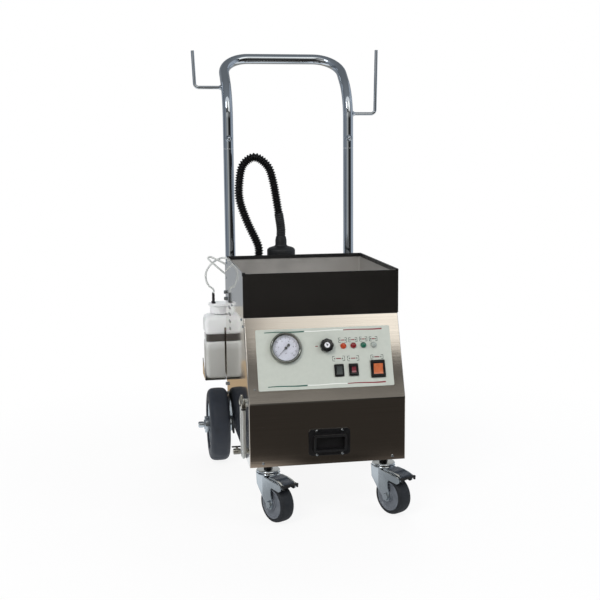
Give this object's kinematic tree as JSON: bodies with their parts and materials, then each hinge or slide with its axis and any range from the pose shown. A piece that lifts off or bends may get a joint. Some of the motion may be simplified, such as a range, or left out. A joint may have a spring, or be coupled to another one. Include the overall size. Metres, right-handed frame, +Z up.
{
  "type": "steam cleaner",
  "caption": "Mobile steam cleaner: sheet steel cabinet with sloping control panel, accessory tray, push handle, hose arch, side bottle, rear wheels and braked castors.",
  "frame": {"origin": "on the floor, midway between the two sides and midway between the castor pedals' tips and the back of the push handle", "axes": "+Z up; +X to the right for someone who faces the control panel; +Y to the back, where the push handle stands"},
  "size_m": [0.484, 0.6871, 1.007],
  "materials": {
    "stainless": "satin stainless sheet",
    "gloss_black": "gloss black",
    "label_plate": "satin grey film",
    "gauge_dial": "pale satin dial",
    "clear_glass": "clear",
    "orange_lens": "gloss orange",
    "red_lens": "gloss red",
    "green_lens": "gloss green",
    "black_plastic": "moulded satin black",
    "brass": "turned",
    "chrome": "polished",
    "zinc": "bright zinc plate",
    "black_steel": "satin black",
    "tyre_rubber": "dark blue grey rubber",
    "castor_rubber": "dark grey rubber",
    "hub_grey": "moulded grey",
    "hose_black": "ribbed satin black",
    "milky_plastic": "translucent natural polythene",
    "steel_braid": "braided wire"
  },
  "bodies": {
    "cleaner": {"base_plate": "stainless", "front_panel": "stainless", "side_panel_left": "stainless", "side_panel_right": "stainless", "rear_panel": "stainless", "accessory_tray": "stainless", "tray_front_plate": "gloss_black", "control_label_plate": "label_plate", "gauge_case": "gauge_dial", "gauge_glass": "clear_glass", "lamp_orange": "orange_lens", "lamp_red": "red_lens", "lamp_green": "green_lens", "lamp_clear": "clear_glass", "switch_frame_left": "black_plastic", "switch_frame_middle": "black_plastic", "switch_frame_right": "black_plastic", "socket_housing": "black_plastic", "steam_valve": "brass", "handle_leg_left": "chrome", "handle_leg_right": "chrome", "handle_bar": "chrome", "hook_left": "chrome", "hook_right": "chrome", "rear_axle": "zinc", "axle_carrier": "black_steel", "castor_left_plate": "zinc", "castor_right_plate": "zinc", "hose_inlet_cap": "black_plastic", "hose_gland": "black_plastic", "corrugated_hose": "hose_black", "detergent_bottle": "milky_plastic", "bottle_cap": "milky_plastic", "bottle_bracket": "stainless", "detergent_feed_tube": "milky_plastic", "detergent_loop_tube": "milky_plastic", "drain_hose": "steel_braid", "drain_valve_body": "brass", "boiler": "stainless", "boiler_heater": "zinc", "water_tank": "milky_plastic", "water_pump": "black_steel"},
    "rear_wheel_left": {"wheel_tyre_left": "tyre_rubber", "wheel_rim_left": "zinc"},
    "rear_wheel_right": {"wheel_tyre_right": "tyre_rubber", "wheel_rim_right": "zinc"},
    "castor_swivel_left": {"castor_left_fork": "zinc"},
    "castor_swivel_right": {"castor_right_fork": "zinc"},
    "castor_wheel_left": {"castor_left_hub": "hub_grey", "castor_left_tread": "castor_rubber"},
    "castor_wheel_right": {"castor_right_hub": "hub_grey", "castor_right_tread": "castor_rubber"},
    "castor_brake_left": {"castor_left_pedal": "zinc"},
    "castor_brake_right": {"castor_right_pedal": "zinc"},
    "steam_knob": {"steam_knob": "black_plastic"},
    "rocker_left": {"rocker_left": "black_plastic"},
    "rocker_middle": {"rocker_middle": "red_lens"},
    "rocker_right": {"rocker_right": "orange_lens"},
    "gauge_needle": {"gauge_needle": "black_steel"},
    "drain_lever": {"drain_valve_lever": "black_plastic"}
  },
  "joints": [
    {"name": "rear_wheel_left_spin", "type": "hinge", "parent": "cleaner", "child": "rear_wheel_left", "pos_m": [-0.1915, 0.16638, 0.09], "axis": [1, 0, 0], "continuous": true},
    {"name": "rear_wheel_right_spin", "type": "hinge", "parent": "cleaner", "child": "rear_wheel_right", "pos_m": [0.1915, 0.16638, 0.09], "axis": [1, 0, 0], "continuous": true},
    {"name": "castor_left_swivel", "type": "hinge", "parent": "cleaner", "child": "castor_swivel_left", "pos_m": [-0.124, -0.25062, 0.1], "axis": [0, 0, 1], "continuous": true},
    {"name": "castor_right_swivel", "type": "hinge", "parent": "cleaner", "child": "castor_swivel_right", "pos_m": [0.124, -0.25062, 0.1], "axis": [0, 0, 1], "continuous": true},
    {"name": "castor_left_roll", "type": "hinge", "parent": "castor_swivel_left", "child": "castor_wheel_left", "pos_m": [-0.10945, -0.27799, 0.04], "axis": [0.8829, 0.4695, 0], "continuous": true},
    {"name": "castor_right_roll", "type": "hinge", "parent": "castor_swivel_right", "child": "castor_wheel_right", "pos_m": [0.13855, -0.27799, 0.04], "axis": [0.8829, 0.4695, 0], "continuous": true},
    {"name": "castor_left_brake", "type": "hinge", "parent": "castor_swivel_left", "child": "castor_brake_left", "pos_m": [-0.09818, -0.29918, 0.082], "axis": [0.8829, 0.4695, 0], "range_deg": [0, 10]},
    {"name": "castor_right_brake", "type": "hinge", "parent": "castor_swivel_right", "child": "castor_brake_right", "pos_m": [0.14982, -0.29918, 0.082], "axis": [0.8829, 0.4695, 0], "range_deg": [0, 10]},
    {"name": "steam_knob_turn", "type": "hinge", "parent": "cleaner", "child": "steam_knob", "pos_m": [0.0042, -0.23274, 0.35673], "axis": [0, -0.9317, 0.3632], "range_deg": [0, 270]},
    {"name": "rocker_left_tilt", "type": "hinge", "parent": "cleaner", "child": "rocker_left", "pos_m": [0.0276, -0.25546, 0.30891], "axis": [1, 0, 0], "range_deg": [-16, 0]},
    {"name": "rocker_middle_tilt", "type": "hinge", "parent": "cleaner", "child": "rocker_middle", "pos_m": [0.0584, -0.25546, 0.30891], "axis": [1, 0, 0], "range_deg": [-16, 0]},
    {"name": "rocker_right_tilt", "type": "hinge", "parent": "cleaner", "child": "rocker_right", "pos_m": [0.1106, -0.25546, 0.30891], "axis": [1, 0, 0], "range_deg": [-16, 0]},
    {"name": "gauge_needle_turn", "type": "hinge", "parent": "cleaner", "child": "gauge_needle", "pos_m": [-0.0815, -0.23322, 0.35551], "axis": [0, -0.9317, 0.3632], "range_deg": [-270, 0]},
    {"name": "drain_lever_turn", "type": "hinge", "parent": "cleaner", "child": "drain_lever", "pos_m": [-0.185, -0.21212, 0.134], "axis": [0, 0, 1], "range_deg": [0, 90]}
  ]
}
